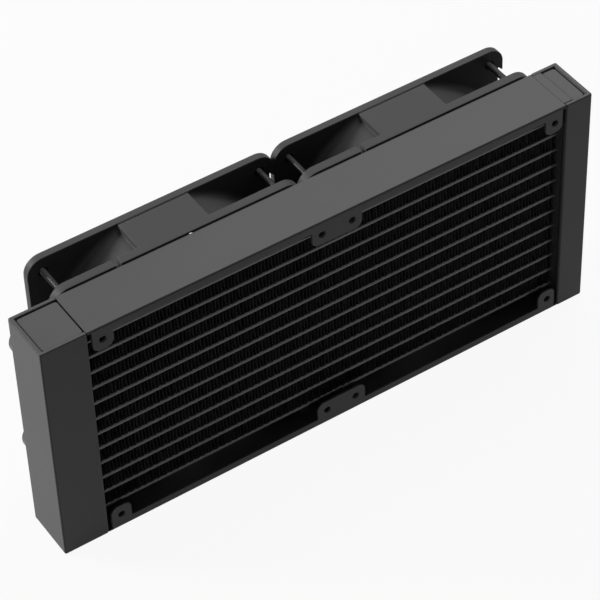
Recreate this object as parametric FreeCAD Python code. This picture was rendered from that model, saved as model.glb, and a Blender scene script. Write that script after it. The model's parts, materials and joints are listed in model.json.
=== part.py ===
import FreeCAD
import Part
import math
import os

# Radiator with two fans of a closed-loop liquid cooler, standing on its long side.
# X runs along the length, Y from the grille (front) to the fans (rear), Z is up.
# All sizes are in millimetres.

# Fan size, a standard one that the radiator is made to suit
fan_size = 120.0
fan_depth = 25.0
flange_hole_inset = 7.5

# Radiator body
fan_rise_past_radiator = 0.6
fans_over_port_tank = 0.85
fans_over_return_tank = 1.55
rad_depth = 26.0
port_tank_width = 21.6
return_tank_width = 13.8
tank_wall = 2.0
tank_end_wall = 2.2
tank_edge_radius = 0.9
header_thickness = 2.4
header_seat = 1.0
header_lip_reach = 4.1
cap_recess = 0.6
cap_thickness = 1.6
cap_corner_radius = 1.4
cap_right_gap = 0.5
cap_rear_gap = 0.3
divider_thickness = 1.2
brazed_gap = 0.03

# Flat tubes and fin strips
tube_count = 12
tube_edge_margin = 10.475
tube_thickness = 1.8
tube_depth = 16.0
tube_wall = 0.4
tube_entry = 1.2
fin_fold_count = 39
fin_sheet = 0.3
fin_crest = 1.2
fin_end_gap = 1.6
fin_side_inset = 0.3

# Side rails with their screw tabs
rail_sheet = 1.2
rail_flange_height = 4.2
rail_bend_radius = 1.0
flange_end_gap = 1.85
tab_half_width = 5.0
tab_reach = 5.5
tab_corner_radius = 3.6
tab_hole_radius = 1.7

# Hose fittings on the rear of the port tank
fitting_from_top = 22.0
fitting_from_bottom = 41.0
fitting_collar_radius = 8.6
fitting_collar_length = 7.4
fitting_collar_bevel = 0.5
fitting_lip_radius = 6.0
fitting_lip_length = 0.8
fitting_bore_radius = 3.2
fitting_stem_radius = 5.0

# Fan frame
fan_corner_radius = 8.0
flange_front = 4.4
flange_rear = 3.7
duct_skin_inset = 0.6
duct_wall = 1.8
duct_mouth_flare = 1.6
duct_mouth_length = 3.0
duct_fillet = 3.2
pad_half_width = 17.0
pad_groove_width = 0.6
pad_groove_depth = 0.4
flange_hole_radius = 2.15
wire_notch_offset = -29.5
wire_notch_width = 2.4
wire_notch_depth = 3.0
side_notch_from_top = 13.5
side_notch_length = 20.0
side_notch_depth = 2.4
motor_base_radius = 21.0
motor_base_start = 0.6
motor_base_thickness = 2.8
strut_width = 4.0
cable_strut_width = 8.0
strut_angle = 22.0
bearing_tube_radius = 5.2
bearing_tube_top = 18.5
wire_notch_slant = 1.0

# Fan motor and rotor
bearing_radius = 3.6
bearing_start = 5.8
bearing_end = 18.2
bearing_fit = 0.02
shaft_radius = 1.5
shaft_running_fit = 0.03
shaft_start = 4.4
shaft_end = 22.4
clip_groove_radius = 1.1
clip_groove_start = 4.9
clip_thickness = 0.5
clip_radius = 2.7
clip_fit = 0.02
clip_mouth = 1.6
board_radius = 17.5
board_thickness = 1.2
stator_radius = 16.2
stator_start = 8.0
stator_end = 14.0
stator_fit = 0.03
pole_neck_width = 5.0
pole_shoe_thickness = 2.2
pole_slot_opening = 3.4
coil_build = 2.2
coil_overhang = 1.8
ring_width = 2.6
coil_start_radius = 8.2
coil_fit = 0.15
magnet_inner_radius = 16.9
magnet_outer_radius = 18.5
magnet_start = 6.0
magnet_end = 16.0
yoke_outer_radius = 19.35
yoke_fit = 0.03
yoke_start = 5.4
yoke_end = 20.0
hub_radius = 20.6
hub_wall = 1.2
hub_start = 5.0
hub_end = 24.2
hub_cap_thickness = 1.6
hub_edge_radius = 1.6
hub_boss_radius = 3.4
hub_boss_start = 19.3
hub_boss_sink = 0.5
blade_count = 9
blade_tip_gap = 1.2
blade_thickness = 1.5
blade_middle_depth = 14.2
blade_root_chord = 19.0
blade_tip_chord = 33.0
blade_root_pitch = 52.0
blade_tip_pitch = 29.0
blade_camber = 0.11
blade_sweep = 18.0
blade_root_depth = 2.0
blade_tip_trim = 4.0

# Fan screws
screw_radius = 1.5
screw_fit = 0.02
screw_tip_past_tab = 0.3
screw_head_radius = 3.3
screw_head_height = 2.4
screw_head_shoulder = 1.3
screw_head_crown_radius = 2.3
screw_drive_radius = 1.3
screw_drive_depth = 1.3

# Derived sizes and places
rad_height = fan_size - fan_rise_past_radiator
core_length = 2 * fan_size - fans_over_port_tank - fans_over_return_tank
rad_length = port_tank_width + core_length + return_tank_width
left_end = -rad_length / 2
right_end = rad_length / 2
core_left = left_end + port_tank_width
core_right = right_end - return_tank_width
rad_middle_z = rad_height / 2
fan_front = rad_depth
fan_rear = rad_depth + fan_depth
whole_depth = fan_rear + screw_head_height
tube_pitch = (rad_height - 2 * tube_edge_margin) / (tube_count - 1)
tube_front = (rad_depth - tube_depth) / 2
fin_height = tube_pitch - tube_thickness
pattern_middle_x = core_left - fans_over_port_tank + fan_size
pattern_centre_z = fan_size / 2
fan_centres = (pattern_middle_x - fan_size / 2, pattern_middle_x + fan_size / 2)
screw_spacing = fan_size - 2 * flange_hole_inset
lower_hole_z = pattern_centre_z - screw_spacing / 2
upper_hole_z = pattern_centre_z + screw_spacing / 2
duct_outer_radius = fan_size / 2 - duct_skin_inset
duct_bore_radius = duct_outer_radius - duct_wall
duct_mouth_radius = duct_bore_radius + duct_mouth_flare
blade_tip_radius = duct_bore_radius - blade_tip_gap
coil_half_width = pole_neck_width / 2 + coil_build
coil_end_radius = math.sqrt(
    (stator_radius - pole_shoe_thickness - coil_fit) ** 2 - coil_half_width ** 2
)
base_top = motor_base_start + motor_base_thickness

axis_x = FreeCAD.Vector(1, 0, 0)
axis_y = FreeCAD.Vector(0, 1, 0)
axis_z = FreeCAD.Vector(0, 0, 1)


def vec(x, y, z):
    return FreeCAD.Vector(x, y, z)


def box(x0, x1, y0, y1, z0, z1):
    return Part.makeBox(x1 - x0, y1 - y0, z1 - z0, vec(x0, y0, z0))


def rod(x, z, radius, y0, y1):
    return Part.makeCylinder(radius, y1 - y0, vec(x, y0, z), axis_y)


def turned(profile, x, z):
    # Solid of revolution about a line along Y through (x, z); profile holds (radius, y) corners.
    points = [vec(x + radius, y, z) for radius, y in profile]
    points.append(points[0])
    face = Part.Face(Part.makePolygon(points))
    return face.revolve(vec(x, 0, z), axis_y, 360)


def plate(outline, y0, y1):
    # Flat plate in the XZ plane from a closed outline of (x, z) corners.
    points = [vec(x, y0, z) for x, z in outline]
    points.append(points[0])
    return Part.Face(Part.makePolygon(points)).extrude(vec(0, y1 - y0, 0))


def rounded_block(x0, x1, y0, y1, z0, z1, radius, direction):
    # Block whose four edges along one direction are rounded.
    solid = box(x0, x1, y0, y1, z0, z1)
    edges = []
    for edge in solid.Edges:
        run = edge.Vertexes[1].Point - edge.Vertexes[0].Point
        if abs(abs(run.normalize().dot(direction)) - 1) < 1e-6:
            edges.append(edge)
    return solid.makeFillet(radius, edges)


def round_edges(solid, radius, wanted):
    edges = [edge for edge in solid.Edges if wanted(edge)]
    return solid.makeFillet(radius, edges)


def save(name, shape):
    placed = shape.copy()
    placed.translate(vec(0, -whole_depth / 2, 0))
    placed.exportStep("parts/" + name + ".step")


def joined(shapes):
    solid = shapes[0]
    if len(shapes) > 1:
        solid = solid.multiFuse(shapes[1:])
    return solid.removeSplitter()


def tube_height(index):
    return rad_middle_z + (index - (tube_count - 1) / 2) * tube_pitch


# Tanks


def tank(outer, inner):
    # Extruded three-sided tank; the header plate closes the side towards the core.
    side = 1 if inner > outer else -1
    x0 = min(outer, inner)
    x1 = max(outer, inner)
    shell = rounded_block(x0, x1, 0, rad_depth, 0, rad_height, tank_edge_radius, axis_z)
    cavity_x = sorted((outer + side * tank_end_wall, inner + side * header_seat))
    cavity = box(
        cavity_x[0], cavity_x[1],
        tank_wall, rad_depth - tank_wall,
        -1, rad_height + 1,
    )
    return shell.cut(cavity)


def header_plate(inner, side, lip_reach):
    # Plate with one slot for each flat tube, brazed between the front and rear walls.
    # It ends under the lids, or has bent lips that lie level with them beside the rails.
    x0, x1 = sorted((inner, inner - side * header_thickness))
    y0 = tank_wall + brazed_gap
    y1 = rad_depth - tank_wall - brazed_gap
    cover = cap_recess + cap_thickness + brazed_gap
    solid = box(x0, x1, y0, y1, cover, rad_height - cover)
    if lip_reach > 0:
        lip_x = sorted((inner, inner - side * lip_reach))
        lips = []
        for z0, z1 in ((0, cover), (rad_height - cover, rad_height)):
            lips.append(box(lip_x[0], lip_x[1], y0, y1, z0, z1))
        solid = joined([solid] + lips)
    slots = []
    for index in range(tube_count):
        slots.append(tube_outline(x0 - 1, x1 + 1, tube_height(index), brazed_gap))
    return solid.cut(Part.makeCompound(slots))


def tank_cap(outer, inner, side, lip_reach, top):
    # Pressed lid brazed into the open end of a tank, a little below its rim.
    x0, x1 = sorted((outer + side * tank_end_wall, inner - side * lip_reach))
    if top:
        z1 = rad_height - cap_recess
        z0 = z1 - cap_thickness
    else:
        z0 = cap_recess
        z1 = z0 + cap_thickness
    return rounded_block(
        x0 + brazed_gap, x1 - cap_right_gap,
        tank_wall + brazed_gap, rad_depth - tank_wall - cap_rear_gap,
        z0, z1,
        cap_corner_radius, axis_z,
    )


def tank_divider():
    # Wall between the upper and the lower half of the port tank.
    return box(
        left_end + tank_end_wall, core_left - header_thickness,
        tank_wall, rad_depth - tank_wall,
        rad_middle_z - divider_thickness / 2, rad_middle_z + divider_thickness / 2,
    )


# Core


def tube_outline(x0, x1, z, grow):
    half_height = tube_thickness / 2 + grow
    y0 = tube_front - grow
    y1 = tube_front + tube_depth + grow
    return rounded_block(
        x0, x1, y0, y1, z - half_height, z + half_height, half_height - 0.01, axis_x
    )


def flat_tube(index):
    # Flat tube with rounded noses, entering both tanks through the header plates.
    z = tube_height(index)
    x0 = core_left - header_thickness - tube_entry
    x1 = core_right + header_thickness + tube_entry
    outer = tube_outline(x0, x1, z, 0)
    half_bore = tube_thickness / 2 - tube_wall
    bore = box(
        x0 - 1, x1 + 1,
        tube_front + tube_thickness / 2, tube_front + tube_depth - tube_thickness / 2,
        z - half_bore, z + half_bore,
    )
    return outer.cut(bore)


def offset_path(path, distance):
    # Parallel run of an open polyline of (x, z) corners with mitred corners.
    moved = []
    for i, (x, z) in enumerate(path):
        normals = []
        for a, b in ((i - 1, i), (i, i + 1)):
            if a < 0 or b >= len(path):
                continue
            dx = path[b][0] - path[a][0]
            dz = path[b][1] - path[a][1]
            size = math.hypot(dx, dz)
            normals.append((-dz / size, dx / size))
        nx = sum(n[0] for n in normals)
        nz = sum(n[1] for n in normals)
        size = math.hypot(nx, nz)
        nx /= size
        nz /= size
        reach = distance / (nx * normals[0][0] + nz * normals[0][1])
        moved.append((x + nx * reach, z + nz * reach))
    return moved


def fin_strip(index):
    # Corrugated strip brazed between two neighbouring tubes.
    middle = (tube_height(index) + tube_height(index + 1)) / 2
    high = middle + (fin_height - fin_sheet) / 2
    low = middle - (fin_height - fin_sheet) / 2
    start = core_left + fin_end_gap
    run = core_right - core_left - 2 * fin_end_gap
    fold = run / fin_fold_count
    path = []
    for i in range(fin_fold_count):
        x = start + i * fold
        path.append((x, low))
        path.append((x + fin_crest, low))
        path.append((x + fold / 2, high))
        path.append((x + fold / 2 + fin_crest, high))
    path.append((start + run, low))
    outline = offset_path(path, fin_sheet / 2)
    outline += reversed(offset_path(path, -fin_sheet / 2))
    return plate(
        outline, tube_front + fin_side_inset, tube_front + tube_depth - fin_side_inset
    )


# Side rails


def rail_tab(x0, x1, y0, edge_z, reach_z):
    z0, z1 = sorted((edge_z, reach_z))
    solid = box(x0, x1, y0, y0 + rail_sheet, z0, z1)
    return round_edges(
        solid, tab_corner_radius,
        lambda edge: abs(edge.Vertexes[0].Z - reach_z) < 1e-6
        and abs(edge.Vertexes[1].Z - reach_z) < 1e-6
        and abs(edge.Vertexes[0].X - edge.Vertexes[1].X) < 1e-6,
    )


def side_rail(top):
    # Folded channel: a flat web outside, short front and rear flanges with screw tabs.
    edge_z = rad_height if top else 0
    into = -1 if top else 1
    hole_z = upper_hole_z if top else lower_hole_z
    reach_z = hole_z + into * tab_reach
    z0, z1 = sorted((edge_z, edge_z + into * rail_flange_height))
    channel = box(core_left, core_right, 0, rad_depth, z0, z1)
    channel = round_edges(
        channel, rail_bend_radius,
        lambda edge: abs(edge.Vertexes[0].Z - edge_z) < 1e-6
        and abs(edge.Vertexes[1].Z - edge_z) < 1e-6
        and abs(edge.Vertexes[0].Y - edge.Vertexes[1].Y) < 1e-6,
    )
    z2, z3 = sorted((edge_z + into * rail_sheet, edge_z + into * 20))
    inside = box(core_left - 1, core_right + 1, rail_sheet, rad_depth - rail_sheet, z2, z3)
    channel = channel.cut(inside)
    for x0, x1 in (
        (core_left - 1, core_left + flange_end_gap),
        (core_right - flange_end_gap, core_right + 1),
    ):
        channel = channel.cut(box(x0, x1, -1, rad_depth + 1, z2, z3))
    tabs = []
    holes = []
    middle = pattern_middle_x
    near = fan_size / 2 - screw_spacing / 2
    far = fan_size / 2 + screw_spacing / 2
    spans = (
        (-far - tab_half_width, -far + tab_half_width),
        (-near - tab_half_width, near + tab_half_width),
        (far - tab_half_width, far + tab_half_width),
    )
    places = ((0, tab_hole_radius), (rad_depth - rail_sheet, screw_radius + screw_fit))
    for y0, hole_radius in places:
        for a, b in spans:
            x0 = max(middle + a, core_left + flange_end_gap)
            x1 = min(middle + b, core_right - flange_end_gap)
            tabs.append(rail_tab(x0, x1, y0, edge_z + into * 2, reach_z))
        for offset in (-far, -near, near, far):
            holes.append(rod(middle + offset, hole_z, hole_radius, y0 - 1, y0 + rail_sheet + 1))
    return joined([channel] + tabs).cut(Part.makeCompound(holes))


# Hose fittings


def hose_fitting(z):
    # Turned stub: a stem through the tank wall, a long collar and a lip for the hose.
    x = left_end + port_tank_width / 2
    y0 = rad_depth
    collar_end = y0 + fitting_collar_length
    y1 = collar_end + fitting_lip_length
    return turned(
        [
            (fitting_bore_radius, rad_depth - tank_wall),
            (fitting_stem_radius, rad_depth - tank_wall),
            (fitting_stem_radius, y0),
            (fitting_collar_radius, y0),
            (fitting_collar_radius, collar_end - fitting_collar_bevel),
            (fitting_collar_radius - fitting_collar_bevel, collar_end),
            (fitting_lip_radius, collar_end),
            (fitting_lip_radius, y1),
            (fitting_bore_radius, y1),
        ],
        x, z,
    )


def fitting_hole(z):
    x = left_end + port_tank_width / 2
    return rod(
        x, z, fitting_stem_radius + brazed_gap,
        rad_depth - tank_wall - 1, rad_depth + 1,
    )


# Fan frame


def rounded_flange(cx, y0, y1):
    half = fan_size / 2
    return rounded_block(
        cx - half, cx + half, y0, y1,
        pattern_centre_z - half, pattern_centre_z + half,
        fan_corner_radius, axis_y,
    )


def duct_body(cx):
    # Outer skin of the duct with hollow fillets running out into both flanges.
    y0 = fan_front
    y1 = fan_rear
    low = y0 + flange_front
    high = y1 - flange_rear
    wide = duct_outer_radius + duct_fillet
    z = pattern_centre_z
    corner = math.sqrt(0.5) * duct_fillet
    edges = [
        Part.makeLine(vec(cx, y0, z), vec(cx + wide, y0, z)),
        Part.makeLine(vec(cx + wide, y0, z), vec(cx + wide, low, z)),
        Part.Arc(
            vec(cx + wide, low, z),
            vec(cx + wide - corner, low + duct_fillet - corner, z),
            vec(cx + duct_outer_radius, low + duct_fillet, z),
        ).toShape(),
        Part.makeLine(
            vec(cx + duct_outer_radius, low + duct_fillet, z),
            vec(cx + duct_outer_radius, high - duct_fillet, z),
        ),
        Part.Arc(
            vec(cx + duct_outer_radius, high - duct_fillet, z),
            vec(cx + wide - corner, high - duct_fillet + corner, z),
            vec(cx + wide, high, z),
        ).toShape(),
        Part.makeLine(vec(cx + wide, high, z), vec(cx + wide, y1, z)),
        Part.makeLine(vec(cx + wide, y1, z), vec(cx, y1, z)),
        Part.makeLine(vec(cx, y1, z), vec(cx, y0, z)),
    ]
    face = Part.Face(Part.Wire(edges))
    body = face.revolve(vec(cx, 0, z), axis_y, 360)
    half = fan_size / 2
    return body.common(box(cx - half, cx + half, y0, y1, z - half, z + half))


def side_pads(cx):
    half = fan_size / 2
    z = pattern_centre_z
    depth = half - duct_bore_radius + 1
    upright = [
        box(cx - pad_half_width, cx + pad_half_width, fan_front, fan_rear, z + half - depth, z + half),
        box(cx - pad_half_width, cx + pad_half_width, fan_front, fan_rear, z - half, z - half + depth),
    ]
    level = [
        box(cx + half - depth, cx + half, fan_front, fan_rear, z - pad_half_width, z + pad_half_width),
        box(cx - half, cx - half + depth, fan_front, fan_rear, z - pad_half_width, z + pad_half_width),
    ]
    return upright + level


def fan_frame(cx):
    z = pattern_centre_z
    half = fan_size / 2
    parts = [
        rounded_flange(cx, fan_front, fan_front + flange_front),
        rounded_flange(cx, fan_rear - flange_rear, fan_rear),
        duct_body(cx),
    ]
    frame = joined(parts + side_pads(cx))
    mouth = duct_mouth_length
    bore = turned(
        [
            (0, fan_front - 1),
            (duct_mouth_radius, fan_front - 1),
            (duct_mouth_radius, fan_front),
            (duct_bore_radius, fan_front + mouth),
            (duct_bore_radius, fan_rear - mouth),
            (duct_mouth_radius, fan_rear),
            (duct_mouth_radius, fan_rear + 1),
            (0, fan_rear + 1),
        ],
        cx, z,
    )
    frame = frame.cut(bore)
    groove_y = fan_rear - flange_rear - pad_groove_width
    cuts = [
        box(
            cx - pad_half_width, cx + pad_half_width,
            groove_y, groove_y + pad_groove_width,
            z + half - pad_groove_depth, z + half + 1,
        ),
        box(
            cx - pad_half_width, cx + pad_half_width,
            groove_y, groove_y + pad_groove_width,
            z - half - 1, z - half + pad_groove_depth,
        ),
    ]
    # Small slanted notch that holds the fan wire in the front flange
    notch_x = cx + wire_notch_offset
    cuts.append(
        plate(
            [
                (notch_x, z + half + 1),
                (notch_x + wire_notch_width, z + half + 1),
                (notch_x + wire_notch_width - wire_notch_slant, z + half - wire_notch_depth),
                (notch_x - wire_notch_slant, z + half - wire_notch_depth),
            ],
            fan_front - 1, fan_front + flange_front + 1,
        )
    )
    # Slanted cut in the right side of the rear flange
    cut_x = cx + half
    top_z = z + half - side_notch_from_top
    low_z = top_z - side_notch_length
    cuts.append(
        plate(
            [
                (cut_x + 1, top_z - 1),
                (cut_x, top_z),
                (cut_x - side_notch_depth, top_z + side_notch_depth),
                (cut_x - side_notch_depth, low_z),
                (cut_x, low_z - side_notch_depth),
                (cut_x + 1, low_z - side_notch_depth),
            ],
            fan_rear - flange_rear - 0.01, fan_rear + 1,
        )
    )
    for dx in (-screw_spacing / 2, screw_spacing / 2):
        for dz in (-screw_spacing / 2, screw_spacing / 2):
            cuts.append(rod(cx + dx, z + dz, flange_hole_radius, fan_front - 1, fan_rear + 1))
    frame = frame.cut(Part.makeCompound(cuts))
    base_y0 = fan_front + motor_base_start
    base_y1 = fan_front + base_top
    struts = []
    for i in range(4):
        width = cable_strut_width if i == 0 else strut_width
        strut = box(
            cx + motor_base_radius - 1.5, cx + duct_bore_radius + 1.0,
            base_y0, base_y1,
            z - width / 2, z + width / 2,
        )
        strut.rotate(vec(cx, 0, z), axis_y, strut_angle + 90 * i)
        struts.append(strut)
    base = rod(cx, z, motor_base_radius, base_y0, base_y1)
    bearing_tube = rod(cx, z, bearing_tube_radius, base_y0, fan_front + bearing_tube_top)
    frame = joined([frame, base, bearing_tube] + struts)
    tube_bore = rod(
        cx, z, bearing_radius, base_y1, fan_front + bearing_tube_top + 1
    )
    return frame.cut(tube_bore)


# Fan motor


def bearing(cx):
    z = pattern_centre_z
    y0 = fan_front + bearing_start
    y1 = fan_front + bearing_end
    sleeve = rod(cx, z, bearing_radius - bearing_fit, y0, y1)
    return sleeve.cut(rod(cx, z, shaft_radius + shaft_running_fit, y0 - 1, y1 + 1))


def shaft(cx):
    z = pattern_centre_z
    solid = rod(cx, z, shaft_radius, fan_front + shaft_start, fan_front + shaft_end)
    y0 = fan_front + clip_groove_start
    y1 = y0 + clip_thickness
    ring = rod(cx, z, shaft_radius + 1, y0, y1).cut(rod(cx, z, clip_groove_radius, y0, y1))
    return solid.cut(ring)


def shaft_clip(cx):
    z = pattern_centre_z
    y0 = fan_front + clip_groove_start
    y1 = y0 + clip_thickness
    ring = rod(cx, z, clip_radius, y0, y1)
    ring = ring.cut(rod(cx, z, clip_groove_radius + clip_fit, y0 - 1, y1 + 1))
    mouth = box(cx, cx + clip_radius + 1, y0 - 1, y1 + 1, z - clip_mouth / 2, z + clip_mouth / 2)
    return ring.cut(mouth)


def circuit_board(cx):
    z = pattern_centre_z
    y0 = fan_front + base_top
    y1 = y0 + board_thickness
    return rod(cx, z, board_radius, y0, y1).cut(
        rod(cx, z, bearing_tube_radius + stator_fit, y0 - 1, y1 + 1)
    )


def stator_core(cx):
    # Four poles with wide shoes around a ring on the bearing tube
    z = pattern_centre_z
    y0 = fan_front + stator_start
    y1 = fan_front + stator_end
    disc = rod(cx, z, stator_radius, y0, y1)
    pockets = []
    ring = rod(cx, z, stator_radius - pole_shoe_thickness, y0 - 1, y1 + 1)
    ring = ring.cut(rod(cx, z, bearing_tube_radius + ring_width, y0 - 2, y1 + 2))
    arms = []
    for i in range(4):
        arm = box(
            cx, cx + stator_radius, y0 - 2, y1 + 2,
            z - pole_neck_width / 2, z + pole_neck_width / 2,
        )
        arm.rotate(vec(cx, 0, z), axis_y, 90 * i)
        arms.append(arm)
    pockets.append(ring.cut(Part.makeCompound(arms)))
    for i in range(4):
        gap = box(
            cx, cx + stator_radius + 1, y0 - 1, y1 + 1,
            z - pole_slot_opening / 2, z + pole_slot_opening / 2,
        )
        gap = gap.cut(rod(cx, z, stator_radius - pole_shoe_thickness - 1, y0 - 2, y1 + 2))
        gap.rotate(vec(cx, 0, z), axis_y, 45 + 90 * i)
        pockets.append(gap)
    for pocket in pockets:
        disc = disc.cut(pocket)
    return disc.cut(rod(cx, z, bearing_tube_radius + stator_fit, y0 - 1, y1 + 1))


def windings(cx):
    z = pattern_centre_z
    y0 = fan_front + stator_start
    y1 = fan_front + stator_end
    coils = []
    for i in range(4):
        coil = box(
            cx + coil_start_radius, cx + coil_end_radius,
            y0 - coil_overhang, y1 + coil_overhang,
            z - coil_half_width, z + coil_half_width,
        )
        neck = box(
            cx, cx + stator_radius, y0, y1,
            z - pole_neck_width / 2, z + pole_neck_width / 2,
        )
        coil = coil.cut(neck)
        coil.rotate(vec(cx, 0, z), axis_y, 90 * i)
        coils.append(coil)
    return Part.makeCompound(coils)


# Fan rotor


def ring(cx, outer, inner, start, end):
    z = pattern_centre_z
    y0 = fan_front + start
    y1 = fan_front + end
    return rod(cx, z, outer, y0, y1).cut(rod(cx, z, inner, y0 - 1, y1 + 1))


def blade_section(radius):
    # Curved plate section on the plane at one radius, written for a blade along +X
    share = (radius - hub_radius) / (blade_tip_radius - hub_radius)
    chord = blade_root_chord + share * (blade_tip_chord - blade_root_chord)
    pitch = math.radians(blade_root_pitch + share * (blade_tip_pitch - blade_root_pitch))
    lean = math.radians(blade_sweep) * share
    thick = blade_thickness * (1.15 - 0.35 * share)
    camber = chord * blade_camber
    half = chord / 2

    def place(along, across):
        axial = along * math.sin(pitch) + across * math.cos(pitch)
        around = along * math.cos(pitch) - across * math.sin(pitch)
        return vec(radius, axial, around + radius * math.sin(lean))

    upper = Part.Arc(
        place(-half, thick * 0.35), place(0, camber + thick / 2), place(half, thick * 0.25)
    ).toShape()
    lower = Part.Arc(
        place(half, -thick * 0.25), place(0, camber - thick / 2), place(-half, -thick * 0.35)
    ).toShape()
    nose = Part.makeLine(place(half, thick * 0.25), place(half, -thick * 0.25))
    tail = Part.makeLine(place(-half, -thick * 0.35), place(-half, thick * 0.35))
    return Part.Wire([upper, nose, lower, tail])


def rotor(cx):
    z = pattern_centre_z
    y0 = fan_front + hub_start
    y1 = fan_front + hub_end
    hub = rod(cx, z, hub_radius, y0, y1)
    hub = round_edges(
        hub, hub_edge_radius,
        lambda edge: abs(edge.BoundBox.YMin - y1) < 1e-6 and abs(edge.BoundBox.YMax - y1) < 1e-6,
    )
    hub = hub.cut(rod(cx, z, hub_radius - hub_wall, y0 - 1, y1 - hub_cap_thickness))
    boss = rod(cx, z, hub_boss_radius, fan_front + hub_boss_start, y1 - hub_boss_sink)
    third = (blade_tip_radius - hub_radius) / 3
    section_radii = (
        hub_radius - blade_root_depth,
        hub_radius + third,
        hub_radius + 2 * third,
        blade_tip_radius + blade_tip_trim,
    )
    sections = [blade_section(radius) for radius in section_radii]
    blade = Part.makeLoft(sections, True, False)
    blade.translate(vec(cx, fan_front + blade_middle_depth, z))
    reach = ring(cx, blade_tip_radius, hub_radius - 0.5, hub_start - 2, hub_end + 2)
    blade = blade.common(reach)
    blades = []
    for i in range(blade_count):
        turned_blade = blade.copy()
        turned_blade.rotate(vec(cx, 0, z), axis_y, 360.0 * i / blade_count)
        blades.append(turned_blade)
    solid = joined([hub, boss] + blades)
    return solid.cut(rod(cx, z, shaft_radius, y0, fan_front + shaft_end))


# Fasteners


def fan_screws():
    screws = []
    for cx in fan_centres:
        for dx in (-screw_spacing / 2, screw_spacing / 2):
            for hole_z in (lower_hole_z, upper_hole_z):
                x = cx + dx
                tip = rad_depth - rail_sheet - screw_tip_past_tab
                shank = rod(x, hole_z, screw_radius, tip, fan_rear + 0.5)
                head = turned(
                    [
                        (0, fan_rear),
                        (screw_head_radius, fan_rear),
                        (screw_head_radius, fan_rear + screw_head_shoulder),
                        (screw_head_crown_radius, fan_rear + screw_head_height),
                        (0, fan_rear + screw_head_height),
                    ],
                    x, hole_z,
                )
                socket = rod(
                    x, hole_z, screw_drive_radius,
                    fan_rear + screw_head_height - screw_drive_depth,
                    fan_rear + screw_head_height + 1,
                )
                screws.append(joined([shank, head]).cut(socket))
    return Part.makeCompound(screws)


os.makedirs("parts", exist_ok=True)

fitting_upper_z = rad_height - fitting_from_top
fitting_lower_z = fitting_from_bottom

port_tank = tank(left_end, core_left)
for fitting_z in (fitting_upper_z, fitting_lower_z):
    port_tank = port_tank.cut(fitting_hole(fitting_z))
save("port_tank", port_tank)
save("return_tank", tank(right_end, core_right))
save("port_header", header_plate(core_left, 1, 0))
save("return_header", header_plate(core_right, -1, header_lip_reach))
save("port_cap_top", tank_cap(left_end, core_left, 1, 0, True))
save("port_cap_bottom", tank_cap(left_end, core_left, 1, 0, False))
save("return_cap_top", tank_cap(right_end, core_right, -1, header_lip_reach, True))
save("return_cap_bottom", tank_cap(right_end, core_right, -1, header_lip_reach, False))
save("tank_divider", tank_divider())
save("rail_top", side_rail(True))
save("rail_bottom", side_rail(False))
save("hose_fitting_upper", hose_fitting(fitting_upper_z))
save("hose_fitting_lower", hose_fitting(fitting_lower_z))

for number in range(tube_count):
    save("flat_tube_%02d" % (number + 1), flat_tube(number))
for number in range(tube_count - 1):
    save("fin_strip_%02d" % (number + 1), fin_strip(number))

for side_name, centre in zip(("left", "right"), fan_centres):
    save("fan_%s_frame" % side_name, fan_frame(centre))
    save("fan_%s_bearing" % side_name, bearing(centre))
    save("fan_%s_shaft" % side_name, shaft(centre))
    save("fan_%s_clip" % side_name, shaft_clip(centre))
    save("fan_%s_board" % side_name, circuit_board(centre))
    save("fan_%s_stator" % side_name, stator_core(centre))
    save("fan_%s_windings" % side_name, windings(centre))
    save(
        "fan_%s_magnet" % side_name,
        ring(centre, magnet_outer_radius, magnet_inner_radius, magnet_start, magnet_end),
    )
    save(
        "fan_%s_yoke" % side_name,
        ring(centre, yoke_outer_radius, magnet_outer_radius + yoke_fit, yoke_start, yoke_end),
    )
    save("fan_%s_rotor" % side_name, rotor(centre))

save("fan_screws", fan_screws())
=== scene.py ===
import json
import math

import bmesh
import bpy
from mathutils import Matrix, Quaternion, Vector


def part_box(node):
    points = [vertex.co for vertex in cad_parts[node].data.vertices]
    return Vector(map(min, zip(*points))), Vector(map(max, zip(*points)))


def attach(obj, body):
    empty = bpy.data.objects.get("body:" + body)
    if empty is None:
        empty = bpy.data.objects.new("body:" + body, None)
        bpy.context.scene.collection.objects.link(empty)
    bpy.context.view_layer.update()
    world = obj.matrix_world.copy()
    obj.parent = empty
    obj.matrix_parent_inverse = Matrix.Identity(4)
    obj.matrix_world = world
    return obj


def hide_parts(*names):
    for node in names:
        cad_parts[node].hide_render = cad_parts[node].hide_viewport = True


bl_info = {
    "name": "Finned radiator with fans",
    "version": (1, 0, 0),
    "blender": (4, 5, 0),
    "location": "3D View > Sidebar > Radiator",
    "description": "Dresses the packed radiator and its fans: folded fins, screws, threads and finishes",
    "category": "Object",
}

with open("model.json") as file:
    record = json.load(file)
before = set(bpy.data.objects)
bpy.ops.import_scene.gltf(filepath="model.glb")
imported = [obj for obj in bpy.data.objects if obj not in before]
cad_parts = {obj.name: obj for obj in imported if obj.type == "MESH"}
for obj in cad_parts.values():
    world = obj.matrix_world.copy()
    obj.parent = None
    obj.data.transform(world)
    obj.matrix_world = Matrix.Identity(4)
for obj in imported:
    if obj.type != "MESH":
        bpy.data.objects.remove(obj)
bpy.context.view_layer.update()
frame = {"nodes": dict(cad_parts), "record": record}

mm = 0.001
main_body = "radiator"

# Painted shade on rounded edges, in place of the dark reflections along them: how far a face turns
# before it darkens, how fast, how dark it gets, and the height of its normal under which it stays as it is
edge_shade_start = 0.03
edge_shade_slope = 9.0
painted_edge_shade_tone = 0.3
edge_shade_lowest = -0.1

# Specular level of each finish: the white background shows in glossy faces, so dull ones are low
paint_gloss = 0.18
tube_gloss = 0.5
fin_gloss = 0.06
plastic_gloss = 0.09

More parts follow.
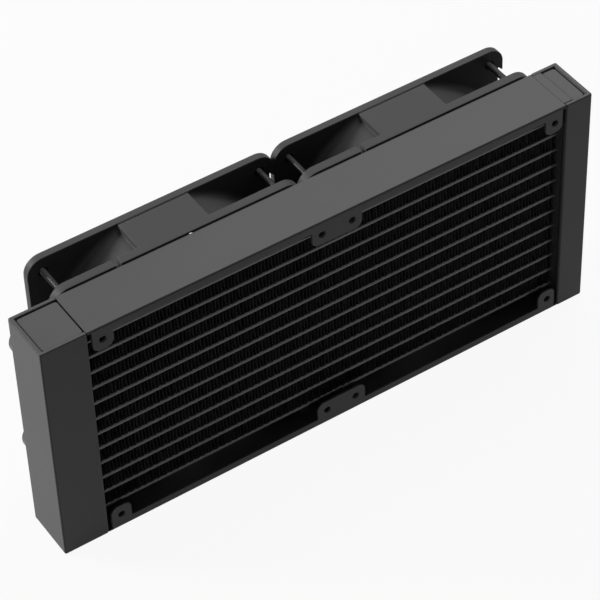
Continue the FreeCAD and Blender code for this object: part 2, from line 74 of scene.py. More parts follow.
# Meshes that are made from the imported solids
merge_distance = 0.0005 * mm
flat_angle = math.radians(0.4)
soft_edge_angle = math.radians(38)
soft_edge_segments = 2
flat_face_weight = 90
smooth_angle = math.radians(40)

# Bends of the fin sheet
bend_segments = 2

# Screws: segments of a full turn, the blunt tip and the pan head, whose upper outline is given as
# shares of its radius and its height
screw_segments = 32
screw_tip_share = 0.62
screw_tip_length = 0.5 * mm
head_seat_share = 0.97
head_seat_bevel = 0.2 * mm
head_outline = ((1.0, 0.42), (0.95, 0.66), (0.82, 0.86), (0.6, 0.97))
head_crown_share = 0.3

# Threads: segments of one turn, where they start and end, how far the ridge's root sinks into the
# metal, and half of its width as a share of the pitch
screw_thread_segments = 14
screw_thread_start = 0.4 * mm
tab_thread_segments = 24
tab_thread_end_gap = 0.15 * mm
thread_root_sink = 0.04 * mm
thread_half_width = 0.42

# Cross recess: arm length and width at its mouth and at its floor, its depth and the cutter's rise
recess_mouth = (3.7 * mm, 0.78 * mm)
recess_floor = (1.9 * mm, 0.5 * mm)
recess_depth = 1.5 * mm
recess_rise = 0.3 * mm

# Lamps, floor and camera
side_lamp_place = (-1.05, 1.0, 0.75)
side_lamp_size = 0.5
top_lamp_place = (0.65, 0.45, 1.3)
top_lamp_size = 0.8
lamp_aim = (0.0, 0.0, 0.06)
floor_reach = 6.0
floor_drop = 0.2 * mm
floor_colour = (0.5, 0.5, 0.5, 1.0)
floor_roughness = 0.8
white = (1.0, 1.0, 1.0, 1.0)
camera_sensor = 36.0
camera_clip = (0.05, 30.0)

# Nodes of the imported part; the softened ones are given with the width of their edges in millimetres
slot_of = {row["node"]: row["material_slot"] for row in frame["record"]["subparts"]}
strip_nodes = sorted(node for node in frame["nodes"] if node.startswith("fin_strip_"))
fan_frames = ("fan_left_frame", "fan_right_frame")
softened_nodes = {
    "port_tank": 0.6, "return_tank": 0.6,
    "port_cap_top": 0.3, "port_cap_bottom": 0.3, "return_cap_top": 0.3, "return_cap_bottom": 0.3,
    "rail_top": 0.22, "rail_bottom": 0.22,
    **{node: 0.4 for node in fan_frames},
}


# Shader maths


class Wire:
    """A socket of a node tree that takes part in plain arithmetic."""

    def __init__(self, work, socket):
        self.work = work
        self.socket = socket

    def math(self, operation, first=None, second=0.0):
        inputs = {0: self if first is None else first, 1: second}
        return self.work.node("ShaderNodeMath", {"operation": operation}, inputs)

    def __add__(self, other):
        return self.math("ADD", self, other)

    def __radd__(self, other):
        return self.math("ADD", other, self)

    def __sub__(self, other):
        return self.math("SUBTRACT", self, other)

    def __rsub__(self, other):
        return self.math("SUBTRACT", other, self)

    def __mul__(self, other):
        return self.math("MULTIPLY", self, other)

    def __truediv__(self, other):
        return self.math("DIVIDE", self, other)

    def __mod__(self, other):
        return self.math("MODULO", self, other)

    def at_most(self, other):
        return self.math("MINIMUM", self, other)

    def at_least(self, other):
        return self.math("MAXIMUM", self, other)

    def below(self, other):
        return self.math("LESS_THAN", self, other)


class NodeWork:
    """A node tree that is written with arithmetic on wires and one helper for other nodes."""

    def __init__(self, tree):
        self.tree = tree

    def feed(self, socket, value):
        if isinstance(value, Wire):
            self.tree.links.new(value.socket, socket)
        else:
            socket.default_value = value

    def node(self, kind, settings=None, inputs=None, output=0):
        """Make a node, set it up, feed its sockets and give back one of its outputs."""
        made = self.tree.nodes.new(kind)
        for name, value in (settings or {}).items():
            setattr(made, name, value)
        for name, value in (inputs or {}).items():
            self.feed(made.inputs[name], value)
        return Wire(self, made.outputs[output])


class Finish(NodeWork):
    """One material and its node tree, with a principled shader at its end."""

    def __init__(self, name):
        self.material = bpy.data.materials.new(name)
        self.material.use_nodes = True
        super().__init__(self.material.node_tree)
        self.tree.nodes.clear()
        self.end = self.tree.nodes.new("ShaderNodeOutputMaterial")
        self.shader = self.tree.nodes.new("ShaderNodeBsdfPrincipled")
        self.tree.links.new(self.shader.outputs[0], self.end.inputs[0])

    def place(self):
        return self.node("ShaderNodeTexCoord", output="Object")

    def noise(self, scale, detail, rough=0.5, stretch=(1.0, 1.0, 1.0)):
        where = self.node("ShaderNodeMapping", {}, {"Vector": self.place(), "Scale": stretch})
        inputs = {"Vector": where, "Scale": scale, "Detail": detail, "Roughness": rough}
        return self.node("ShaderNodeTexNoise", {}, inputs)

    def between(self, share, low, high):
        inputs = {0: share, 6: rgba(low), 7: rgba(high)}
        return self.node("ShaderNodeMix", {"data_type": "RGBA"}, inputs, 2)

    def painted_edge_shade_share(self):
        """Share of painted edge shade: 0 on faces square to an axis and on what looks down, 1 on the other
        rounded edges.
        """
        facing = self.node("ShaderNodeTexCoord", output="Normal")
        parts = [
            self.node("ShaderNodeSeparateXYZ", {}, {"Vector": facing}, axis)
            for axis in ("X", "Y", "Z")
        ]
        sides = [part.math("ABSOLUTE") for part in parts]
        turned = 1 - sides[0].at_least(sides[1]).at_least(sides[2])
        # Painted shade: the share rises as the normal turns away from the axes
        share = ((turned - edge_shade_start) * edge_shade_slope).at_least(0.0).at_most(1.0)
        return share * (1 - parts[2].below(edge_shade_lowest))

    def bump(self, height, depth, strength):
        inputs = {"Height": height, "Distance": depth, "Strength": strength}
        return self.node("ShaderNodeBump", {}, inputs)

    def set(self, **values):
        for name, value in values.items():
            self.feed(self.shader.inputs[name.replace("_", " ").title().replace("Ior", "IOR")], value)
        return self.material


def rgba(colour):
    if isinstance(colour, Wire):
        return colour
    return (colour[0], colour[1], colour[2], 1.0)


def shade(colour, share):
    return tuple(channel * share for channel in colour)


# Finishes


def paint_finish(name, colour, rough, grain=900.0, gloss=paint_gloss):
    """Sprayed black paint: faint clouding, a fine orange peel, small changes of gloss, and painted shade
    along rounded edges.
    """
    finish = Finish(name)
    clouds = finish.noise(28.0, 3.0)
    peel = finish.noise(grain, 2.0)
    dust = finish.noise(3200.0, 1.0)
    tone = clouds * 0.75 + dust * 0.25
    flat = finish.between(tone, shade(colour, 0.78), shade(colour, 1.22))
    return finish.set(
        # Painted shade: the base colour darkens on rounded edges, in place of dark reflections along them
        base_color=finish.between(finish.painted_edge_shade_share(), flat, shade(colour, painted_edge_shade_tone)),
        roughness=rough + (clouds - 0.5) * 0.14 + (peel - 0.5) * 0.08,
        normal=finish.bump(peel * 0.7 + dust * 0.3, 0.05 * mm, 0.5),
        specular_ior_level=gloss,
    )


def fin_finish(name, colour):
    """Matt black paint on thin sheet, uneven from fold to fold, darker than the tank paint as painted shade
    between the fins.
    """
    finish = Finish(name)
    streaks = finish.noise(420.0, 2.0, 0.6, (1.0, 0.15, 0.3))
    specks = finish.noise(2500.0, 1.0)
    tone = (streaks - 0.5) * 3.4 + specks * 0.3 + 0.2
    return finish.set(
        base_color=finish.between(tone, shade(colour, 0.1), shade(colour, 1.9)),
        roughness=0.55 + (streaks - 0.5) * 0.2,
        normal=finish.bump(streaks, 0.1 * mm, 0.6),
        specular_ior_level=fin_gloss,
    )


def plastic_finish(name, colour, rough):
    """Moulded plastic with a fine spark-eroded grain."""
    finish = Finish(name)
    grain = finish.noise(2600.0, 2.0, 0.65)
    flow = finish.noise(40.0, 2.0, 0.5, (1.0, 0.4, 1.0))
    return finish.set(
        base_color=finish.between(flow * 0.6 + grain * 0.4, shade(colour, 0.82), shade(colour, 1.18)),
        roughness=rough + (grain - 0.5) * 0.16,
        normal=finish.bump(grain, 0.04 * mm, 0.6),
        specular_ior_level=plastic_gloss,
    )


def metal_finish(name, colour, rough, stretch=(1.0, 1.0, 1.0), metallic=1.0):
    """Machined or drawn metal with fine tool marks along one direction."""
    finish = Finish(name)
    marks = finish.noise(1800.0, 2.0, 0.6, stretch)
    stains = finish.noise(120.0, 2.0)
    return finish.set(
        base_color=finish.between(stains * 0.5 + marks * 0.5, shade(colour, 0.8), shade(colour, 1.2)),
        roughness=rough + (marks - 0.5) * 0.18,
        normal=finish.bump(marks, 0.02 * mm, 0.5),
        metallic=metallic,
    )


def turned_finish(name, colour, rough):
    """Dark turned metal, with the lathe's rings running round the fitting."""
    finish = Finish(name)
    rings = finish.noise(60.0, 2.0, 0.6, (1.0, 60.0, 1.0))
    stains = finish.noise(260.0, 2.0)
    return finish.set(
        base_color=finish.between(rings * 0.5 + stains * 0.5, shade(colour, 0.75), shade(colour, 1.25)),
        roughness=rough + (rings - 0.5) * 0.2,
        normal=finish.bump(rings, 0.03 * mm, 0.6),
        metallic=0.85,
    )


def coil_finish(name, colour):
    """Enamelled wire laid side by side round the poles, with painted shade in the grooves between the
    turns.
    """
    finish = Finish(name)
    inputs = {"Vector": finish.place(), "Scale": 900.0, "Distortion": 0.4}
    turns = finish.node("ShaderNodeTexWave", {"bands_direction": "Y"}, inputs, "Fac")
    return finish.set(
        # The darker bands are painted shade in the grooves between the turns
        base_color=finish.between(turns, shade(colour, 0.35), shade(colour, 1.15)),
        roughness=0.3 + (1 - turns) * 0.2,
        normal=finish.bump(turns, 0.1 * mm, 0.8),
        metallic=0.9,
    )


def board_finish(name, colour):
    """Green lacquered board with faint tracks under the lacquer."""
    finish = Finish(name)
    inputs = {"Vector": finish.place(), "Scale": 260.0}
    lines = finish.node("ShaderNodeTexVoronoi", {"feature": "DISTANCE_TO_EDGE"}, inputs).below(0.06)
    return finish.set(
        base_color=finish.between(lines, colour, shade(colour, 1.7)),
        roughness=0.34 + lines * 0.1,
        normal=finish.bump(lines, 0.03 * mm, 0.5),
    )


def make_finishes(looks):
    paint = tuple(looks.paint_colour)
    return {
        "radiator_paint": paint_finish("black_radiator_paint", paint, looks.paint_roughness),
        # The tubes get a lighter copy of the black paint as a painted highlight on their noses; their gloss
        # is real
        "core_paint": paint_finish(
            "black_core_paint", tuple(looks.tube_colour_painted_highlight), 0.34, 1500.0, tube_gloss,
        ),
        # The fins get a darker copy of the black paint: painted shade deep in the core
        "fin_paint": fin_finish("matt_black_fins", tuple(looks.fin_colour_painted_shade)),
        "fitting_metal": turned_finish("dark_turned_metal", tuple(looks.fitting_colour), 0.34),
        "fan_frame_plastic": plastic_finish("black_frame_plastic", tuple(looks.frame_colour), 0.5),
        "fan_blade_plastic": plastic_finish("black_blade_plastic", tuple(looks.blade_colour), 0.4),
        "bearing_bronze": metal_finish("sintered_bronze", (0.46, 0.30, 0.14), 0.45),
        "polished_steel": metal_finish("ground_steel", (0.55, 0.55, 0.56), 0.2, (1.0, 30.0, 1.0)),
        "circuit_board": board_finish("green_board", (0.02, 0.12, 0.05)),
        "motor_steel": metal_finish("sheet_steel", (0.33, 0.33, 0.34), 0.38),
        "copper_wire": coil_finish("copper_wire", (0.6, 0.25, 0.1)),
        "magnet_rubber": plastic_finish("bonded_magnet", (0.06, 0.06, 0.062), 0.6),
        "black_steel": metal_finish("blackened_steel", (0.05, 0.05, 0.052), 0.36, (1.0, 12.0, 1.0), 0.7),
    }


def give_finish(piece, material):
    if not piece.material_slots:
        piece.data.materials.append(material)
    for slot in piece.material_slots:
        slot.material = material


# Meshes


def add_object(name, data):
    made = bpy.data.objects.new(name, data)
    bpy.context.scene.collection.objects.link(made)
    return made


def new_piece(name, mesh, body):
    piece = add_object(name, mesh)
    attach(piece, body)
    return piece


def evaluated_mesh(scratch, name):
    """Plain mesh of a scratch object with its modifiers, and the scratch object removed."""
    graph = bpy.context.evaluated_depsgraph_get()
    mesh = bpy.data.meshes.new_from_object(scratch.evaluated_get(graph))
    mesh.name = name
    bpy.data.objects.remove(scratch)
    return mesh


def merged_copy(node):
    """Copy of a CAD node's mesh with its triangles joined and its flat faces made whole."""
    mesh = frame["nodes"][node].data.copy()
    if "custom_normal" in mesh.attributes:
        mesh.attributes.remove(mesh.attributes["custom_normal"])
    work = bmesh.new()
    work.from_mesh(mesh)
    bmesh.ops.remove_doubles(work, verts=work.verts, dist=merge_distance)
    bmesh.ops.dissolve_limit(work, angle_limit=flat_angle, verts=work.verts, edges=work.edges)
    work.to_mesh(mesh)
    work.free()
    return mesh


def softened_mesh(node, width):
    """The node's form with its sharp edges slightly rounded."""
    scratch = add_object("scratch", merged_copy(node))
    bevel = scratch.modifiers.new("edges", "BEVEL")
    bevel.width = width * mm
    bevel.segments = soft_edge_segments
    bevel.limit_method = "ANGLE"
    bevel.angle_limit = soft_edge_angle
    bevel.use_clamp_overlap = False
    weighted = scratch.modifiers.new("normals", "WEIGHTED_NORMAL")
    weighted.keep_sharp = False
    weighted.weight = flat_face_weight
    for face in scratch.data.polygons:
        face.use_smooth = True
    return evaluated_mesh(scratch, "softened_" + node)


def shade_by_angle(mesh):
    for face in mesh.polygons:
        face.use_smooth = True
    mesh.set_sharp_from_angle(angle=smooth_angle)


# Geometry node trees


class Tree(NodeWork):
    """A geometry node group with named inputs."""

    def __init__(self, name):
        super().__init__(bpy.data.node_groups.new(name, "GeometryNodeTree"))
        self.tree.interface.new_socket("Geometry", in_out="OUTPUT", socket_type="NodeSocketGeometry")
        self.start = self.tree.nodes.new("NodeGroupInput")
        self.end = self.tree.nodes.new("NodeGroupOutput")
        self.names = {}

    def input(self, name, kind):
        item = self.tree.interface.new_socket(name, in_out="INPUT", socket_type="NodeSocket" + kind)
        self.names[name] = item.identifier
        return Wire(self, self.start.outputs[name])

    def vector(self, **parts):
        return self.node("ShaderNodeCombineXYZ", {}, parts)

    def finish(self, geometry, material):
        real = self.node("GeometryNodeRealizeInstances", {}, {"Geometry": geometry})
        coloured = self.node("GeometryNodeSetMaterial", {}, {"Geometry": real, "Material": material})
        self.feed(self.end.inputs[0], coloured)

    def run(self, name, values):
        """Mesh that the tree gives for these input values."""
        scratch = add_object("scratch", bpy.data.meshes.new(name))
        modifier = scratch.modifiers.new("tree", "NODES")
        modifier.node_group = self.tree
        for label, value in values.items():
            modifier[self.names[label]] = value
        return evaluated_mesh(scratch, name)


def fin_tree():
    """Serpentine strip: steep legs and short rounded crests, swept with a thin flat section."""
    tree = Tree("folded_strip")
    pitch = tree.input("Fold Pitch", "Float")
    count = tree.input("Fold Count", "Int")
    height = tree.input("Height", "Float")
    depth = tree.input("Depth", "Float")
    sheet = tree.input("Sheet", "Float")
    crest = tree.input("Crest Width", "Float")
    bend = tree.input("Bend Radius", "Float")
    wobble = tree.input("Wobble", "Float")
    seed = tree.input("Seed", "Int")
    material = tree.input("Material", "Material")
    no_step = (0.0, 0.0, 0.0)
    # Two crests to a fold and two points to a crest, with one crest more to close the strip
    line = tree.node("GeometryNodeMeshLine", {}, {"Count": count * 4.0 + 2.0, "Offset": no_step})
    index = tree.node("GeometryNodeInputIndex")
    far_side = index % 2.0
    number = (index - far_side) / 2.0
    stray = tree.node(
        "FunctionNodeRandomValue", {"data_type": "FLOAT"},
        {2: wobble * -1.0, 3: wobble, "ID": number, "Seed": seed}, 1,
    )
    along = number * (pitch / 2.0) + far_side * crest + stray
    place = tree.vector(X=along, Z=(number % 2.0 - 0.5) * height)
    zigzag = tree.node("GeometryNodeSetPosition", {}, {"Geometry": line, "Offset": place})
    curve = tree.node("GeometryNodeMeshToCurve", {}, {"Mesh": zigzag})
    rounded = tree.node(
        "GeometryNodeFilletCurve", {"mode": "POLY"},
        {"Curve": curve, "Count": bend_segments, "Radius": bend},
    )
    section = tree.node(
        "GeometryNodeCurvePrimitiveQuadrilateral", {"mode": "RECTANGLE"}, {"Width": depth, "Height": sheet},
    )
    strip = tree.node(
        "GeometryNodeCurveToMesh", {}, {"Curve": rounded, "Profile Curve": section, "Fill Caps": True},
    )
    tree.finish(strip, material)
    return tree


def pattern_tree():
    """Copies of one object on a square of four places, repeated once for each fan."""
    tree = Tree("hole_pattern")
    thing = tree.input("Thing", "Object")
    spacing = tree.input("Hole Spacing", "Float")
    pitch = tree.input("Fan Pitch", "Float")
    fans = tree.input("Fans", "Int")
    centre = tree.input("First Centre", "Vector")
    material = tree.input("Material", "Material")
    square = tree.node(
        "GeometryNodeMeshGrid", {},
        {"Size X": spacing, "Size Y": spacing, "Vertices X": 2, "Vertices Y": 2},
    )
    upright = tree.node(
        "GeometryNodeTransform", {}, {"Geometry": square, "Rotation": (math.pi / 2, 0.0, 0.0)},
    )
    line = tree.node(
        "GeometryNodeMeshLine", {},
        {"Count": fans, "Start Location": centre, "Offset": tree.vector(X=pitch)},
    )
    squares = tree.node("GeometryNodeInstanceOnPoints", {}, {"Points": line, "Instance": upright})
    places = tree.node("GeometryNodeRealizeInstances", {}, {"Geometry": squares})
    shape = tree.node("GeometryNodeObjectInfo", {}, {"Object": thing}, "Geometry")
    copies = tree.node("GeometryNodeInstanceOnPoints", {}, {"Points": places, "Instance": shape})
    tree.finish(copies, material)
    return tree


# Turned shapes


def lathe(profile, segments):
    """Mesh turned about Y from (radius, y) corners; the first and last lie on the axis."""
    work = bmesh.new()
    rings = []
    for radius, y in profile:
        if radius == 0.0:
            rings.append([work.verts.new((0.0, y, 0.0))])
            continue
        ring = []
        for i in range(segments):
            angle = 2 * math.pi * i / segments
            ring.append(work.verts.new((radius * math.cos(angle), y, radius * math.sin(angle))))
        rings.append(ring)
    for lower, upper in zip(rings, rings[1:]):
        for i in range(segments):
            j = (i + 1) % segments
            corners = [
                lower[i % len(lower)], lower[j % len(lower)],
                upper[j % len(upper)], upper[i % len(upper)],
            ]
            unique = []
            for corner in corners:
                if corner not in unique:
                    unique.append(corner)
            work.faces.new(unique)
    bmesh.ops.recalc_face_normals(work, faces=work.faces)
    mesh = bpy.data.meshes.new("turned")
    work.to_mesh(mesh)
    work.free()
    return mesh


def add_thread(work, radius, depth, pitch, y0, y1, segments, inward):
    """Helical ridge of triangular section from y0 to y1 at one radius, faded out at its ends."""
    turns = (y1 - y0) / pitch
    count = int(turns * segments)
    side = -1.0 if inward else 1.0
    root = -thread_root_sink
    last = None
    first = None
    for i in range(count + 1):
        angle = 2 * math.pi * i / segments
        fade = min(1.0, i / segments, (count - i) / segments)
        y = y0 + pitch * i / segments
        section = ((root, -thread_half_width), (depth * fade, 0.0), (root, thread_half_width))
        ring = []
        for reach, slide in section:
            r = radius + side * reach
            ring.append(work.verts.new((r * math.cos(angle), y + slide * pitch, r * math.sin(angle))))
        if last:
            for a in range(3):
                b = (a + 1) % 3
                work.faces.new([last[a], last[b], ring[b], ring[a]])
        else:
            first = ring
        last = ring
    work.faces.new(list(reversed(first)))
    work.faces.new(last)


def screw_mesh(sizes, low, high):
    """One fan screw along Y: pan head with a cross recess, threaded shank, blunt tip."""
    head_radius = sizes.head_radius
    seat = high - sizes.head_height
    core = sizes.shank_radius - sizes.thread_depth
    shank = [(0.0, low), (core * screw_tip_share, low), (core, low + screw_tip_length), (core, seat)]
    head = [(head_radius * head_seat_share, seat), (head_radius, seat + head_seat_bevel)]
    head += [(head_radius * wide, seat + sizes.head_height * tall) for wide, tall in head_outline]
    head += [(head_radius * head_crown_share, high), (0.0, high)]
    scratch = add_object("scratch", lathe(shank + head, screw_segments))
    cutter = bmesh.new()
    for turn in (0.0, math.pi / 2):
        blade = bmesh.ops.create_cube(cutter, size=1.0)["verts"]
        for vert in blade:
            deep = vert.co.y < 0
            arm, width = recess_floor if deep else recess_mouth
            y = high - recess_depth if deep else high + recess_rise
            corner = Vector((vert.co.x * arm, y, vert.co.z * width))
            vert.co = Quaternion((0.0, 1.0, 0.0), turn) @ corner
    cutter_mesh = bpy.data.meshes.new("cross_cutter")
    cutter.to_mesh(cutter_mesh)
    cutter.free()
    tool = add_object("scratch", cutter_mesh)
    cut = scratch.modifiers.new("recess", "BOOLEAN")
    cut.operation = "DIFFERENCE"
    cut.use_self = True
    cut.object = tool
    mesh = evaluated_mesh(scratch, "screw")
    bpy.data.objects.remove(tool)
    work = bmesh.new()
    work.from_mesh(mesh)
    add_thread(
        work, core, sizes.thread_depth, sizes.thread_pitch,
        low + screw_thread_start, seat - sizes.thread_pitch, screw_thread_segments, False,
    )
    work.to_mesh(mesh)
    work.free()
    return mesh


def at_screw_holes(name, mesh, tree, values):
    """Piece with one copy of a mesh at each screw hole."""
    template = add_object("scratch", mesh)
    copies = tree.run(name, {"Thing": template, **values})
    shade_by_angle(copies)
    bpy.data.objects.remove(template)
    return new_piece(name, copies, main_body)


def tab_thread_mesh(sizes, low, high):
    """Thread in one tab hole, as a helical ridge on its wall."""
    work = bmesh.new()
    add_thread(
        work, sizes.tab_hole_radius, sizes.tab_thread_depth, sizes.tab_thread_pitch,
        low + tab_thread_end_gap, high - tab_thread_end_gap, tab_thread_segments, True,
    )
    for face in work.faces:
        face.normal_flip()
    mesh = bpy.data.meshes.new("tab_thread")
    work.to_mesh(mesh)
    work.free()
    return mesh


# Stage


def shown_share(work):
    """1 for the rays on which the plain white background shows."""
    share = work.node("ShaderNodeLightPath", output="Is Camera Ray")
    for name in ("Is Glossy Ray", "Is Transmission Ray"):
        share = share.at_least(work.node("ShaderNodeLightPath", output=name))
    return share


def make_floor(whiteness):
    mesh = bpy.data.meshes.new("floor")
    corners = [(x * floor_reach, y * floor_reach, 0.0) for x, y in ((-1, -1), (1, -1), (1, 1), (-1, 1))]
    mesh.from_pydata(corners, [], [(0, 1, 2, 3)])
    floor = add_object("floor", mesh)
    floor.location.z = -floor_drop
    finish = Finish("pale_floor")
    finish.set(base_color=floor_colour, roughness=floor_roughness, specular_ior_level=0.0)
    glow = finish.node("ShaderNodeEmission", {}, {"Color": white, "Strength": 1.0})
    plain = Wire(finish, finish.shader.outputs[0])
    share = shown_share(finish) * whiteness
    shown = finish.node("ShaderNodeMixShader", {}, {0: share, 1: plain, 2: glow})
    finish.feed(finish.end.inputs["Surface"], shown)
    mesh.materials.append(finish.material)


def make_world(strength):
    world = bpy.data.worlds.new("studio")
    world.use_nodes = True
    world.node_tree.nodes.clear()
    work = NodeWork(world.node_tree)
    end = world.node_tree.nodes.new("ShaderNodeOutputWorld")
    even = work.node("ShaderNodeBackground", {}, {"Color": white, "Strength": strength})
    plain = work.node("ShaderNodeBackground", {}, {"Color": white, "Strength": 1.0})
    shown = work.node("ShaderNodeMixShader", {}, {0: shown_share(work), 1: even, 2: plain})
    work.feed(end.inputs["Surface"], shown)
    bpy.context.scene.world = world


def point_at(thing, place, aim, roll):
    """Stand a lamp or the camera at its place and turn it towards a point."""
    thing.location = place
    thing.rotation_mode = "QUATERNION"
    level = (Vector(aim) - Vector(place)).to_track_quat("-Z", "Y")
    thing.rotation_quaternion = level @ Quaternion((0.0, 0.0, 1.0), roll)


def make_lamp(name, place, size, power):
    lamp = bpy.data.lights.new(name, "AREA")
    lamp.shape = "SQUARE"
    lamp.size = size
    lamp.energy = power
    point_at(add_object(name, lamp), place, lamp_aim, 0.0)


def make_camera(settings):
    data = bpy.data.cameras.new("camera")
    data.lens = settings.lens
    data.sensor_width = camera_sensor
    data.clip_start, data.clip_end = camera_clip
    camera = add_object("camera", data)
    point_at(camera, settings.camera_place, settings.camera_aim, settings.camera_roll)
    bpy.context.scene.camera = camera


# Settings


class RadiatorFinSizes(bpy.types.PropertyGroup):
    fold_pitch: bpy.props.FloatProperty(
        name="Fold pitch", description="Length of one full fold of a fin strip",
        default=3.3 * mm, unit="LENGTH",
    )
    sheet: bpy.props.FloatProperty(
        name="Sheet", description="Thickness of the fin sheet", default=0.12 * mm, unit="LENGTH",
    )
    crest_width: bpy.props.FloatProperty(
        name="Crest width", description="Flat length at each tube", default=1.45 * mm, unit="LENGTH",
    )
    bend_radius: bpy.props.FloatProperty(
        name="Bend radius", description="Bend radius beside each crest",
        default=0.08 * mm, unit="LENGTH",
    )
    wobble: bpy.props.FloatProperty(
        name="Wobble", description="How far a crest may stray from its even place",
        default=0.22 * mm, unit="LENGTH",
    )
    seed: bpy.props.IntProperty(
        name="Seed", description="Start of the random strays", default=5,
    )


class RadiatorScrewSizes(bpy.types.PropertyGroup):
    head_radius: bpy.props.FloatProperty(
        name="Head radius", description="Radius of a fan screw's head",
        default=3.3 * mm, unit="LENGTH",
    )
    head_height: bpy.props.FloatProperty(
        name="Head height", description="Height of a fan screw's head",
        default=2.4 * mm, unit="LENGTH",
    )
    shank_radius: bpy.props.FloatProperty(
        name="Shank radius", description="Outer radius of the thread",
        default=1.5 * mm, unit="LENGTH",
    )
    thread_pitch: bpy.props.FloatProperty(
        name="Thread pitch", description="Rise of the thread in one turn",
        default=0.7 * mm, unit="LENGTH",
    )
    thread_depth: bpy.props.FloatProperty(
        name="Thread depth", description="Depth of the thread", default=0.26 * mm, unit="LENGTH",
    )
    tab_hole_radius: bpy.props.FloatProperty(
        name="Tab hole radius", description="Radius of the holes in the front tabs",
        default=1.7 * mm, unit="LENGTH",
    )
    tab_sheet: bpy.props.FloatProperty(
        name="Tab sheet", description="Thickness of a screw tab", default=1.2 * mm, unit="LENGTH",
    )
    tab_thread_depth: bpy.props.FloatProperty(
        name="Tab thread depth", description="Depth of the thread in a front tab",
        default=0.32 * mm, unit="LENGTH",
    )
    tab_thread_pitch: bpy.props.FloatProperty(
        name="Tab thread pitch", description="Rise of the tab thread in one turn",
        default=0.5 * mm, unit="LENGTH",
    )


class RadiatorLooks(bpy.types.PropertyGroup):
    paint_colour: bpy.props.FloatVectorProperty(
        name="Paint", description="Colour of tanks and rails", subtype="COLOR",
        default=(0.068, 0.068, 0.069), min=0.0, max=1.0,
    )
    paint_roughness: bpy.props.FloatProperty(
        name="Paint roughness", description="How matt the paint is", default=0.46, min=0.0, max=1.0,
    )
    # Lighter than the tank paint: a painted highlight for the light the tube noses catch
    tube_colour_painted_highlight: bpy.props.FloatVectorProperty(
        name="Tubes", description="Colour of the flat tubes", subtype="COLOR",
        default=(0.12, 0.12, 0.122), min=0.0, max=1.0,
    )
    # Darker than the tank paint: painted shade for the shade deep between the fins
    fin_colour_painted_shade: bpy.props.FloatVectorProperty(
        name="Fins", description="Colour of the fins", subtype="COLOR",
        default=(0.014, 0.014, 0.0145), min=0.0, max=1.0,
    )
    fitting_colour: bpy.props.FloatVectorProperty(
        name="Fittings", description="Colour of the hose fittings", subtype="COLOR",
        default=(0.10, 0.10, 0.104), min=0.0, max=1.0,
    )
    frame_colour: bpy.props.FloatVectorProperty(
        name="Fan frames", description="Colour of the fan frames", subtype="COLOR",
        default=(0.06, 0.06, 0.061), min=0.0, max=1.0,
    )
    blade_colour: bpy.props.FloatVectorProperty(
        name="Blades", description="Colour of the rotors", subtype="COLOR",
        default=(0.035, 0.035, 0.036), min=0.0, max=1.0,
    )


class RadiatorStage(bpy.types.PropertyGroup):
    lens: bpy.props.FloatProperty(
        name="Lens", description="Focal length in millimetres on a 36 mm sensor", default=170.49,
    )
    camera_place: bpy.props.FloatVectorProperty(
        name="Camera", description="Where the camera stands", subtype="TRANSLATION",
        default=(-0.46559, -0.74347, 0.91077),
    )
    camera_aim: bpy.props.FloatVectorProperty(
        name="Aim", description="Point in the middle of the picture", subtype="TRANSLATION",
        default=(0.00153, 0.0, 0.05072),
    )
    camera_roll: bpy.props.FloatProperty(
        name="Roll", description="Turn of the camera about its own line of sight",
        default=math.radians(-2.191), subtype="ANGLE",
    )
    side_light: bpy.props.FloatProperty(
        name="Side light", description="Power of the lamp behind the left end", default=30.0,
    )
    top_light: bpy.props.FloatProperty(
        name="Top light", description="Power of the lamp above the right end", default=13.2,
    )
    fill: bpy.props.FloatProperty(
        name="Fill", description="Strength of the even light from all round", default=0.04,
    )
    floor_whiteness: bpy.props.FloatProperty(
        name="Floor whiteness", default=0.93, min=0.0, max=1.0,
        description="Share of plain white in what the camera sees of the floor",
    )


# Operators


class RADIATOR_OT_finishes(bpy.types.Operator):
    """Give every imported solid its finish"""

    bl_idname = "radiator.finishes"
    bl_label = "Finish the solids"

    def execute(self, context):
        finishes = make_finishes(context.scene.radiator_looks)
        for node, piece in frame["nodes"].items():
            give_finish(piece, finishes[slot_of[node]])
        return {"FINISHED"}


class RADIATOR_OT_edges(bpy.types.Operator):
    """Round the sharp edges of tanks, lids, rails and fan frames"""

    bl_idname = "radiator.edges"
    bl_label = "Soften edges"

    def execute(self, context):
        for node, width in softened_nodes.items():
            piece = new_piece("soft_" + node, softened_mesh(node, width), main_body)
            give_finish(piece, frame["nodes"][node].material_slots[0].material)
            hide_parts(node)
        return {"FINISHED"}


class RADIATOR_OT_fins(bpy.types.Operator):
    """Fold the fine fin strips between the tubes"""

    bl_idname = "radiator.fins"
    bl_label = "Fold the fins"

    def execute(self, context):
        sizes = context.scene.radiator_fins
        tree = fin_tree()
        material = bpy.data.materials["matt_black_fins"]
        for number, node in enumerate(strip_nodes):
            low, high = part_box(node)
            extent = high - low
            count = round(extent.x / sizes.fold_pitch)
            mesh = tree.run("folds", {
                "Fold Pitch": (extent.x - sizes.crest_width) / count, "Fold Count": count,
                "Height": extent.z - sizes.sheet, "Depth": extent.y, "Sheet": sizes.sheet,
                "Crest Width": sizes.crest_width, "Bend Radius": sizes.bend_radius,
                "Wobble": sizes.wobble, "Seed": sizes.seed + number, "Material": material,
            })
            place = Vector((low.x, (low.y + high.y) / 2, (low.z + high.z) / 2))
            mesh.transform(Matrix.Translation(place))
            piece = new_piece(node.replace("strip", "folds"), mesh, main_body)
            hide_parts(node)
        return {"FINISHED"}


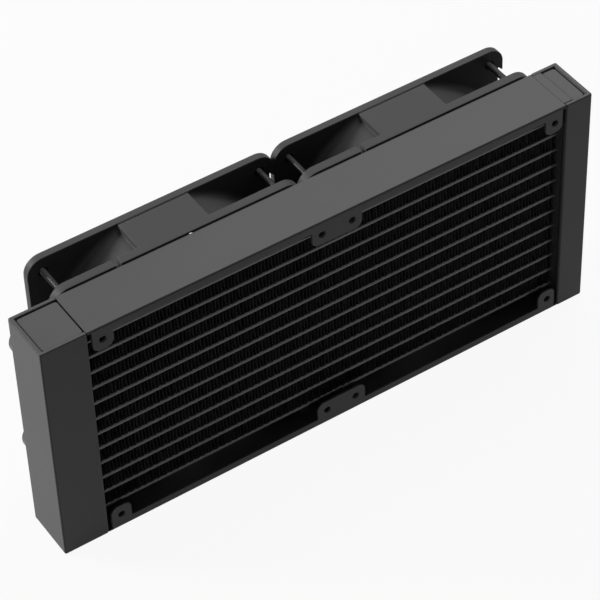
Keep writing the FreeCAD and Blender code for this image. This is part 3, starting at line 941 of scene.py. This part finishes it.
class RADIATOR_OT_screws(bpy.types.Operator):
    """Set the fan screws and the threads of the screw tabs"""

    bl_idname = "radiator.screws"
    bl_label = "Set the screws"

    def execute(self, context):
        sizes = context.scene.radiator_screws
        tree = pattern_tree()
        low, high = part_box("fan_screws")
        left_centre, right_centre = [sum(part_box(node), Vector()) / 2 for node in fan_frames]
        values = {
            "Hole Spacing": high.z - low.z - 2 * sizes.head_radius,
            "Fan Pitch": right_centre.x - left_centre.x, "Fans": len(fan_frames),
            "First Centre": (left_centre.x, 0.0, left_centre.z),
            "Material": bpy.data.materials["blackened_steel"],
        }
        mesh = screw_mesh(sizes, low.y, high.y)
        screws = at_screw_holes("threaded_screws", mesh, tree, values)
        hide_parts("fan_screws")
        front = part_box("rail_top")[0].y
        mesh = tab_thread_mesh(sizes, front, front + sizes.tab_sheet)
        values["Material"] = bpy.data.materials["black_radiator_paint"]
        at_screw_holes("tab_threads", mesh, tree, values)
        return {"FINISHED"}


class RADIATOR_OT_stage(bpy.types.Operator):
    """Set the floor, the lamps and the camera"""

    bl_idname = "radiator.stage"
    bl_label = "Set the stage"

    def execute(self, context):
        settings = context.scene.radiator_stage
        make_floor(settings.floor_whiteness)
        make_world(settings.fill)
        make_lamp("side_lamp", side_lamp_place, side_lamp_size, settings.side_light)
        make_lamp("top_lamp", top_lamp_place, top_lamp_size, settings.top_light)
        make_camera(settings)
        context.scene.view_settings.view_transform = "Standard"
        return {"FINISHED"}


# Panel


class RADIATOR_PT_panel(bpy.types.Panel):
    bl_idname = "RADIATOR_PT_panel"
    bl_label = "Radiator"
    bl_space_type = "VIEW_3D"
    bl_region_type = "UI"
    bl_category = "Radiator"

    def draw(self, context):
        scene = context.scene
        for group in ("radiator_fins", "radiator_screws", "radiator_looks", "radiator_stage"):
            settings = getattr(scene, group)
            for name in settings.bl_rna.properties.keys():
                if name not in ("rna_type", "name"):
                    self.layout.prop(settings, name)
        for operator in operators:
            self.layout.operator(operator.bl_idname)


groups = {
    "radiator_fins": RadiatorFinSizes,
    "radiator_screws": RadiatorScrewSizes,
    "radiator_looks": RadiatorLooks,
    "radiator_stage": RadiatorStage,
}
operators = (
    RADIATOR_OT_finishes,
    RADIATOR_OT_edges,
    RADIATOR_OT_fins,
    RADIATOR_OT_screws,
    RADIATOR_OT_stage,
)


def register():
    for name, group in groups.items():
        bpy.utils.register_class(group)
        setattr(bpy.types.Scene, name, bpy.props.PointerProperty(type=group))
    for kind in (*operators, RADIATOR_PT_panel):
        bpy.utils.register_class(kind)


def unregister():
    for kind in (*operators, RADIATOR_PT_panel):
        bpy.utils.unregister_class(kind)
    for name, group in groups.items():
        delattr(bpy.types.Scene, name)
        bpy.utils.unregister_class(group)


def main():
    register()
    bpy.ops.radiator.finishes()
    bpy.ops.radiator.edges()
    bpy.ops.radiator.fins()
    bpy.ops.radiator.screws()
    bpy.ops.radiator.stage()


if __name__ == "__main__":
    main()
